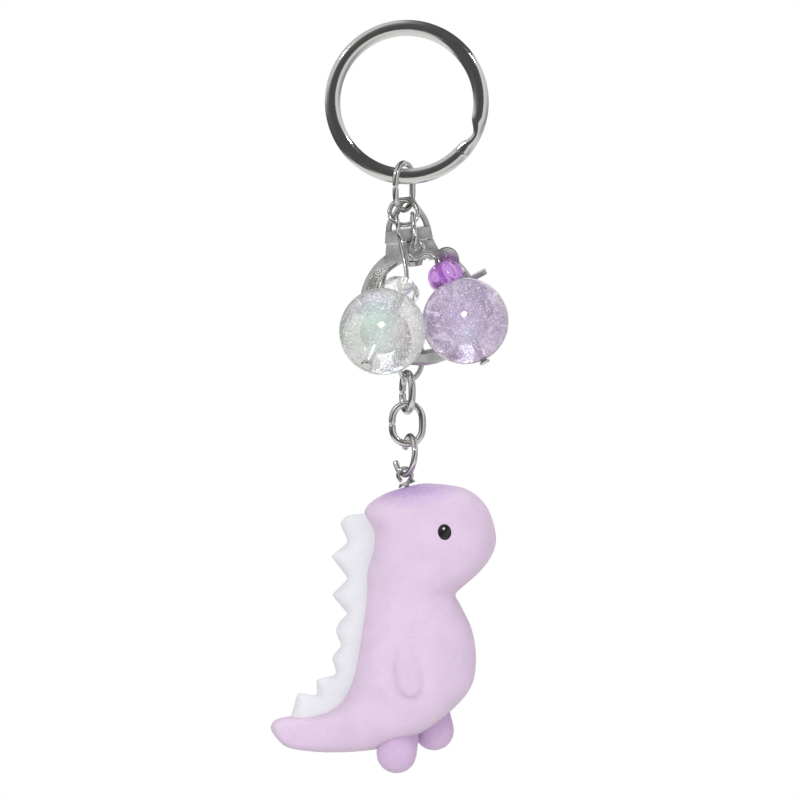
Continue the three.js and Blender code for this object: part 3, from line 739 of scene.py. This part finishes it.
# ---------------------------------------------------------------- figure
# Sections from the top of the head to the tip of the tail, in millimetres in the figure's frame:
# where each meets the back, where it meets the front or belly, and half its width
BODY_SECTIONS = [
    ((3.2, 1.05), (3.2, 1.05), 0.0),
    ((-3.9, -0.9), (10.6, 0.1), 6.2),
    ((-7.9, -4.1), (14.8, -3.2), 8.4),
    ((-6.3, -7.9), (16.6, -8.4), 9.2),
    ((-6.5, -11.7), (16.1, -11.9), 9.3),
    ((-7.6, -15.4), (13.8, -15.3), 8.9),
    ((-7.6, -18.6), (10.2, -18.5), 8.2),
    ((-7.7, -20.2), (9.0, -19.8), 7.9),
    ((-7.9, -22.1), (10.0, -21.7), 7.9),
    ((-8.5, -26.2), (12.1, -26.2), 8.7),
    ((-9.2, -30.8), (12.9, -31.2), 9.2),
    ((-10.2, -35.4), (12.3, -36.2), 9.3),
    ((-12.0, -39.2), (9.4, -40.3), 8.9),
    ((-14.5, -41.2), (3.4, -45.1), 7.9),
    ((-17.7, -42.1), (-4.0, -48.2), 6.5),
    ((-20.9, -42.4), (-11.1, -49.1), 5.1),
    ((-23.3, -42.7), (-17.8, -49.0), 4.1),
    ((-25.0, -43.5), (-22.7, -48.0), 3.1),
    ((-25.5, -44.9), (-25.5, -44.9), 0.0),
]

# The crest's outline down its teeth and back up inside the body
CREST_OUTLINE = [
    (-8.3, -4.7), (-11.1, -5.0), (-12.5, -6.4), (-10.9, -10.0), (-14.1, -12.6), (-10.9, -16.8),
    (-14.0, -19.8), (-10.9, -23.4), (-12.4, -24.6), (-13.3, -26.6), (-12.1, -29.3), (-14.0, -31.4),
    (-13.0, -34.7), (-16.9, -35.6), (-16.6, -38.8), (-20.3, -38.0), (-21.8, -43.2), (-13.5, -44.0),
    (-7.0, -38.0), (-4.5, -30.0), (-4.0, -20.0), (-3.5, -10.0), (-5.0, -4.2),
]
CREST_TEETH = 17  # how many of those points are teeth


def through(values, place):
    """A smooth curve through evenly spaced values, read at a place from 0 to 1."""
    spot = place * (len(values) - 1)
    index = min(int(spot), len(values) - 2)
    part = spot - index
    before = values[max(index - 1, 0)]
    start = values[index]
    end = values[index + 1]
    after = values[min(index + 2, len(values) - 1)]
    bend = 2 * before - 5 * start + 4 * end - after
    twist = 3 * (start - end) + after - before
    return start + 0.5 * part * ((end - before) + part * (bend + part * twist))


def boxy(value):
    """A sine or cosine that makes a section a little boxier than an ellipse."""
    return math.copysign(abs(value) ** 0.84, value)


def body_form():
    """A ball drawn out into the head, the torso and the tail."""
    backs = [Vector(back) for back, _, _ in BODY_SECTIONS]
    fronts = [Vector(front) for _, front, _ in BODY_SECTIONS]
    widths = [Vector((width, 0)) for _, _, width in BODY_SECTIONS]
    bm = bmesh.new()
    bmesh.ops.create_uvsphere(bm, u_segments=72, v_segments=108, radius=1)
    for vertex in bm.verts:
        place = math.acos(max(-1.0, min(1.0, vertex.co.z))) / math.pi
        around = math.atan2(vertex.co.y, vertex.co.x)
        back = through(backs, place)
        front = through(fronts, place)
        middle = (back + front) / 2
        half = (front - back) / 2 * boxy(math.cos(around))
        if math.hypot(vertex.co.x, vertex.co.y) < 1e-6:
            half = Vector((0, 0))
            around = 0
        width = through(widths, place).x * boxy(math.sin(around))
        vertex.co = Vector((middle.x + half.x, width, middle.y + half.y))
    bmesh.ops.recalc_face_normals(bm, faces=bm.faces)
    return bm


def distance_to_outline(x, z, outline):
    """How far a point of the XZ plane is from an open outline."""
    nearest = math.inf
    for (ax, az), (bx, bz) in zip(outline, outline[1:]):
        dx = bx - ax
        dz = bz - az
        along = ((x - ax) * dx + (z - az) * dz) / (dx * dx + dz * dz)
        along = max(0.0, min(1.0, along))
        nearest = min(nearest, math.hypot(x - ax - along * dx, z - az - along * dz))
    return nearest


def crest_form():
    """A plate with the crest's outline, puffed up so that each tooth has a soft ridge."""
    half = 2.7
    rise = 3.0
    rim = 0.15  # what is left of the thickness along the teeth
    bm = bmesh.new()
    verts = [bm.verts.new((x, -half, z)) for x, z in CREST_OUTLINE]
    face = bm.faces.new(verts)
    depth = bmesh.ops.extrude_face_region(bm, geom=[face])
    moved = [item for item in depth["geom"] if isinstance(item, bmesh.types.BMVert)]
    bmesh.ops.translate(bm, verts=moved, vec=(0, 2 * half, 0))
    bmesh.ops.recalc_face_normals(bm, faces=bm.faces)
    bmesh.ops.triangulate(bm, faces=bm.faces)
    bm = remeshed(bm, 0.3, 0)
    teeth = CREST_OUTLINE[:CREST_TEETH]
    for vertex in bm.verts:
        inside = min(1.0, distance_to_outline(vertex.co.x, vertex.co.z, teeth) / rise)
        vertex.co.y *= rim + (1 - rim) * math.sqrt(1 - (1 - inside) ** 2)
    return smoothed(bm, 10)


def fuzzed(bm, size, amount):
    """Roughens a skin the way short fibres do: each vertex moves a little along its normal."""
    bm.normal_update()
    for vertex in bm.verts:
        lift = noise.noise(vertex.co / size) + 0.6 * noise.noise(vertex.co / (0.45 * size))
        vertex.co += vertex.normal * lift * amount
    return bm


def worn_and_shaded(piece, belly, spread=0.8):
    """Writes how worn and shaded the flocking is, real wear and painted shade together: where the skin
    turns away from the sides, where it faces down, and more below belly.
    """
    mesh = piece.data
    wear = mesh.attributes.new("wear", "FLOAT", "POINT")
    for vertex in mesh.vertices:
        edge = max(0.0, 1 - abs(vertex.normal.y) / spread)
        low = max(0.0, min(1.0, (belly - vertex.co.z) / (6 * MM)))
        downwards = max(0.0, -vertex.normal.z)
        wear.data[vertex.index].value = min(1.0, edge * (0.42 + 0.12 * low + 0.3 * downwards))


def limb_form(start, end, radius):
    """A rounded limb between two points."""
    bm = bmesh.new()
    bmesh.ops.create_uvsphere(bm, u_segments=48, v_segments=32, radius=radius)
    reach = (end - start).length
    for vertex in bm.verts:
        if vertex.co.z > 0:
            vertex.co.z += reach
    turn = UP.rotation_difference(start - end).to_matrix().to_4x4()
    bm.transform(Matrix.Translation(end) @ turn)
    return bm


def ball_form(centre, half):
    """An ellipsoid with these half sizes."""
    bm = bmesh.new()
    bmesh.ops.create_uvsphere(bm, u_segments=40, v_segments=28, radius=1)
    bm.transform(Matrix.Translation(centre) @ Matrix.Diagonal((*half, 1)))
    return bm


SKIN_VOXEL = 0.36
ARM_HALF = (2.75, 1.45, 5.2)
ARM_PLACE = (0.1, 9.1, -33.2)
EYE_HALF = (1.32, 0.5, 1.6)
EYE_PLACE = (6.9, 8.95, -8.0)
WORN_AND_SHADED_BELOW = {"body": 36, "feet": 50, "crest": 60}  # how far under the head the wear and painted shade deepen
FOOT_RADIUS = 3.75
FEET = (
    # side, where the limb starts inside the body, where its foot is
    ("right", (-1.3, 0.2, -44.5), (-1.9, -2.8, -49.1)),
    ("left", (3.9, 2.8, -40.4), (5.1, 2.8, -45.3)),
)


def arm_form(sign):
    """An arm lying against the side: it sinks in at the shoulder and stands off at its round tip."""
    bm = ball_form(Vector((0, 0, 0)), ARM_HALF)
    for vertex in bm.verts:
        tip = 0.5 - vertex.co.z / (2 * ARM_HALF[2])
        vertex.co.x *= 0.72 + 0.36 * tip
        vertex.co.y += sign * 1.3 * (tip - 0.5)
    turn = Matrix.Rotation(math.radians(-9), 4, "Y")
    ahead, aside, height = ARM_PLACE
    bm.transform(Matrix.Translation((ahead, sign * aside, height)) @ turn)
    return bm


def joined(parts):
    """Several bmeshes as one."""
    whole = bmesh.new()
    for part in parts:
        mesh = bpy.data.meshes.new("part")
        part.to_mesh(mesh)
        part.free()
        whole.from_mesh(mesh)
        bpy.data.meshes.remove(mesh)
    return whole


class KEYRING_OT_figure(bpy.types.Operator):
    """Builds the flocked figure: body, arms, feet, crest and eyes"""

    bl_idname = "keyring.figure"
    bl_label = "Figure"

    def execute(self, context):
        colors = context.scene.keyring_figure
        place = figure_place()
        self.body(colors, place)
        self.crest(colors, place)
        for side, sign in (("right", -1), ("left", 1)):
            ahead, aside, height = EYE_PLACE
            eye = ball_form(Vector((ahead, sign * aside, height)), EYE_HALF)
            eye.transform(place)
            keep(f"figure_eye_{side}", eye, gloss_black(), "dino", [f"dino_eye_{side}"])
        for foot in FEET:
            self.foot(colors, place, *foot)
        return {"FINISHED"}

    def body(self, colors, place):
        """The body and both arms as one skin, with the stain round the screw eye."""
        color = tuple(colors.body)
        screw = place @ Vector((0.6, 0, 0.4))
        stain_and_shadow = (screw, 5.0 * MM, (0.5, 0.3, 1.05), (0.50, 0.33, 0.70))
        lilac = flocking("lilac flocking", color, darker(color, 0.93), stain_and_shadow=stain_and_shadow)
        form = joined([body_form(), arm_form(-1), arm_form(1)])
        skin = fuzzed(remeshed(form, SKIN_VOXEL, 5), 0.5, 0.035)
        skin.transform(place)
        nodes = ["dino_body", "dino_arm_right", "dino_arm_left"]
        piece = keep("figure_body", skin, lilac, "dino", nodes)
        worn_and_shaded(piece, colors.top - WORN_AND_SHADED_BELOW["body"] * MM)

    def crest(self, colors, place):
        """The white crest down the back."""
        color = tuple(colors.crest)
        # bluish grey for the crest's wear and for the painted shade on its rims and the slopes of its teeth
        white = flocking("white flocking", color, darker(color, 0.95), wear=(0.52, 0.53, 0.60))
        crest = fuzzed(crest_form(), 0.6, 0.02)
        crest.transform(place)
        piece = keep("figure_crest", crest, white, "dino", ["dino_crest"])
        worn_and_shaded(piece, colors.top - WORN_AND_SHADED_BELOW["crest"] * MM, 1.0)

    def foot(self, colors, place, side, start, end):
        """One foot, with a painted shadow that darkens it towards the body."""
        color = tuple(colors.feet)
        # painted contact shadow: the foot turns deep purple towards where it meets the body
        contact_shadow = (place @ Vector(start), 6.6 * MM, (1, 1, 1), (0.34, 0.17, 0.46))
        deep_lilac = flocking(f"deep lilac flocking {side}", color, darker(color, 0.93), stain_and_shadow=contact_shadow)
        form = limb_form(Vector(start), Vector(end), FOOT_RADIUS)
        limb = fuzzed(remeshed(form, SKIN_VOXEL, 2), 0.5, 0.03)
        limb.transform(place)
        nodes = [f"dino_foot_{side}"]
        piece = keep(f"figure_foot_{side}", limb, deep_lilac, "dino", nodes)
        worn_and_shaded(piece, colors.top - WORN_AND_SHADED_BELOW["feet"] * MM)


# ---------------------------------------------------------------- stage
def area_light(name, place, target, size, power, mirrored):
    """A round lamp. Only a mirrored one is seen in polished metal and beads."""
    data = bpy.data.lights.new(name, "AREA")
    data.shape = "DISK"
    data.size = size
    data.energy = power
    lamp = bpy.data.objects.new(name, data)
    lamp.location = place
    lamp.rotation_euler = (Vector(target) - Vector(place)).to_track_quat("-Z", "Y").to_euler()
    lamp.visible_glossy = mirrored
    bpy.context.scene.collection.objects.link(lamp)
    return lamp


def light_only(lamp, endings):
    """Lets a lamp light only the pieces whose names have one of these endings."""
    lit = bpy.data.collections.new(lamp.name + " lights")
    for piece in bpy.context.scene.objects:
        if piece.name.endswith(endings):
            lit.objects.link(piece)
    lamp.light_linking.receiver_collection = lit


# what polished metal reflects, from the light below on the right (0) to the dark above on the left (1)
REFLECTED = (
    (0.12, 0.62), (0.20, 0.34), (0.28, 0.62), (0.40, 0.84), (0.515, 0.88), (0.53, 0.5), (0.55, 0.10),
    (0.66, 0.09), (0.80, 0.13), (0.86, 0.34), (0.91, 0.75),
)


def studio_world():
    """White behind the object, an even tent of light on it, and light and dark for polished metal."""
    world = bpy.data.worlds.new("studio")
    bpy.context.scene.world = world
    world.use_nodes = True
    nodes = world.node_tree.nodes
    links = world.node_tree.links
    background = nodes["Background"]
    output = nodes["World Output"]
    place = nodes.new("ShaderNodeTexCoord").outputs["Generated"]
    facing = nodes.new("ShaderNodeVectorMath")
    facing.operation = "DOT_PRODUCT"
    facing.inputs[1].default_value = Vector((-0.68, -0.22, 0.70)).normalized()
    links.new(place, facing.inputs[0])
    ramp = nodes.new("ShaderNodeValToRGB")
    stops = ramp.color_ramp
    stops.elements[0].position = 0.0
    stops.elements[0].color = (0.45, 0.45, 0.46, 1)
    stops.elements[1].position = 1.0
    stops.elements[1].color = (0.75, 0.75, 0.76, 1)
    for position, shade in REFLECTED:
        stop = stops.elements.new(position)
        stop.color = (shade, shade, 1.01 * shade, 1)
    uneven = nodes.new("ShaderNodeTexNoise")
    uneven.inputs["Scale"].default_value = 2.4
    links.new(place, uneven.inputs["Vector"])
    shifted = nodes.new("ShaderNodeMath")
    shifted.operation = "MULTIPLY_ADD"
    shifted.inputs[1].default_value = 0.5
    links.new(uneven.outputs["Fac"], shifted.inputs[0])
    links.new(facing.outputs["Value"], shifted.inputs[2])
    half = nodes.new("ShaderNodeMapRange")
    half.inputs["From Min"].default_value = -0.75
    half.inputs["From Max"].default_value = 1.25
    links.new(shifted.outputs["Value"], half.inputs["Value"])
    links.new(half.outputs["Result"], ramp.inputs["Fac"])
    links.new(ramp.outputs["Color"], background.inputs["Color"])
    tent = nodes.new("ShaderNodeBackground")
    tent.inputs["Color"].default_value = (1, 1, 1, 1)
    tent.inputs["Strength"].default_value = 0.62
    white = nodes.new("ShaderNodeBackground")
    white.inputs["Color"].default_value = (1, 1, 1, 1)
    paths = nodes.new("ShaderNodeLightPath")
    lit = nodes.new("ShaderNodeMixShader")
    links.new(paths.outputs["Is Glossy Ray"], lit.inputs[0])
    links.new(tent.outputs["Background"], lit.inputs[1])
    links.new(background.outputs["Background"], lit.inputs[2])
    seen = nodes.new("ShaderNodeMixShader")
    straight = nodes.new("ShaderNodeMath")
    straight.operation = "MAXIMUM"
    links.new(paths.outputs["Is Camera Ray"], straight.inputs[0])
    links.new(paths.outputs["Is Transmission Ray"], straight.inputs[1])
    links.new(straight.outputs["Value"], seen.inputs[0])
    links.new(lit.outputs["Shader"], seen.inputs[1])
    links.new(white.outputs["Background"], seen.inputs[2])
    links.new(seen.outputs["Shader"], output.inputs["Surface"])


FLOOR_HEIGHT = -0.19
FLOOR_RADIUS = 0.34


def pale_floor():
    """A round pale floor under the object whose rim fades out."""
    bm = bmesh.new()
    bmesh.ops.create_circle(bm, cap_ends=True, segments=96, radius=FLOOR_RADIUS)
    bmesh.ops.translate(bm, verts=bm.verts, vec=(0, 0, FLOOR_HEIGHT))
    mesh = bpy.data.meshes.new("floor")
    bm.to_mesh(mesh)
    bm.free()
    floor = bpy.data.objects.new("floor", mesh)
    bpy.context.scene.collection.objects.link(floor)
    finish = Finish("pale floor", (0.9, 0.9, 0.9), 0.9)
    fade = finish.nearness((0, 0, FLOOR_HEIGHT), 0.32, 0.16)
    finish.link(fade, finish.shader.inputs["Alpha"])
    mesh.materials.append(finish.material)


VIEW_CENTRE = Vector((-0.00126, 0, -0.0676))
VIEW_DISTANCE = 0.8
VIEW_HEIGHT = 0.1484  # what the view takes in at the object

GLOSSY_PIECES = ("_bead", "_core", "_glitter", "_eye_right", "_eye_left")
METAL_PIECES = ("_wire", "_metal", "_turns")

# name, place, size, power, and for a lamp that is mirrored, the endings of the pieces it lights
LAMPS = (
    ("key", (-0.30, -0.45, 0.22), 0.28, 1.15, ()),
    ("fill", (0.42, -0.40, 0.02), 0.30, 0.55, ()),
    ("flash", (-0.03, -0.62, 0.14), 0.16, 2.4, GLOSSY_PIECES),
    ("left glint", (-0.42, -0.50, 0.36), 0.05, 0.5, METAL_PIECES),
    ("right glint", (0.40, -0.50, 0.30), 0.05, 0.5, METAL_PIECES),
    ("top", (0.05, 0.12, 0.42), 0.30, 0.9, ()),
)


class KEYRING_OT_stage(bpy.types.Operator):
    """Builds the floor, the studio light and the camera"""

    bl_idname = "keyring.stage"
    bl_label = "Stage"

    def execute(self, context):
        data = bpy.data.cameras.new("camera")
        data.lens = data.sensor_width * VIEW_DISTANCE / VIEW_HEIGHT
        data.clip_start = 0.01
        camera = bpy.data.objects.new("camera", data)
        camera.location = VIEW_CENTRE + FRONT * VIEW_DISTANCE
        camera.rotation_euler = FRONT.to_track_quat("Z", "Y").to_euler()
        context.scene.collection.objects.link(camera)
        context.scene.camera = camera
        context.scene.view_settings.view_transform = "Standard"
        studio_world()
        pale_floor()
        for name, place, size, power, endings in LAMPS:
            lamp = area_light(name, place, VIEW_CENTRE, size, power, bool(endings))
            if endings:
                light_only(lamp, endings)
        return {"FINISHED"}


# ---------------------------------------------------------------- sidebar
class KEYRING_PT_panel(bpy.types.Panel):
    """Lists the pieces of the keyring"""

    bl_label = "Charm keyring"
    bl_idname = "KEYRING_PT_panel"
    bl_space_type = "VIEW_3D"
    bl_region_type = "UI"
    bl_category = "Keyring"

    def draw(self, context):
        scene = context.scene
        for group in (scene.keyring_ring, scene.keyring_beads, scene.keyring_figure):
            box = self.layout.box()
            for name in group.__annotations__:
                box.prop(group, name)
        for operator in OPERATORS:
            self.layout.operator(operator.bl_idname)


OPERATORS = (
    KEYRING_OT_split_ring,
    KEYRING_OT_wires,
    KEYRING_OT_clasp,
    KEYRING_OT_large_beads,
    KEYRING_OT_small_beads,
    KEYRING_OT_figure,
    KEYRING_OT_stage,
)
GROUPS = {
    "keyring_ring": SplitRingSizes,
    "keyring_beads": BeadSizes,
    "keyring_figure": FigureColors,
}


def register():
    for group in GROUPS.values():
        bpy.utils.register_class(group)
    for name, group in GROUPS.items():
        setattr(bpy.types.Scene, name, bpy.props.PointerProperty(type=group))
    for operator in OPERATORS:
        bpy.utils.register_class(operator)
    bpy.utils.register_class(KEYRING_PT_panel)


def unregister():
    bpy.utils.unregister_class(KEYRING_PT_panel)
    for operator in reversed(OPERATORS):
        bpy.utils.unregister_class(operator)
    for name in GROUPS:
        delattr(bpy.types.Scene, name)
    for group in GROUPS.values():
        bpy.utils.unregister_class(group)


def main():
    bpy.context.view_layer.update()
    register()
    bpy.ops.keyring.split_ring()
    bpy.ops.keyring.wires()
    bpy.ops.keyring.clasp()
    bpy.ops.keyring.large_beads()
    bpy.ops.keyring.small_beads()
    bpy.ops.keyring.figure()
    bpy.ops.keyring.stage()


if __name__ == "__main__":
    main()
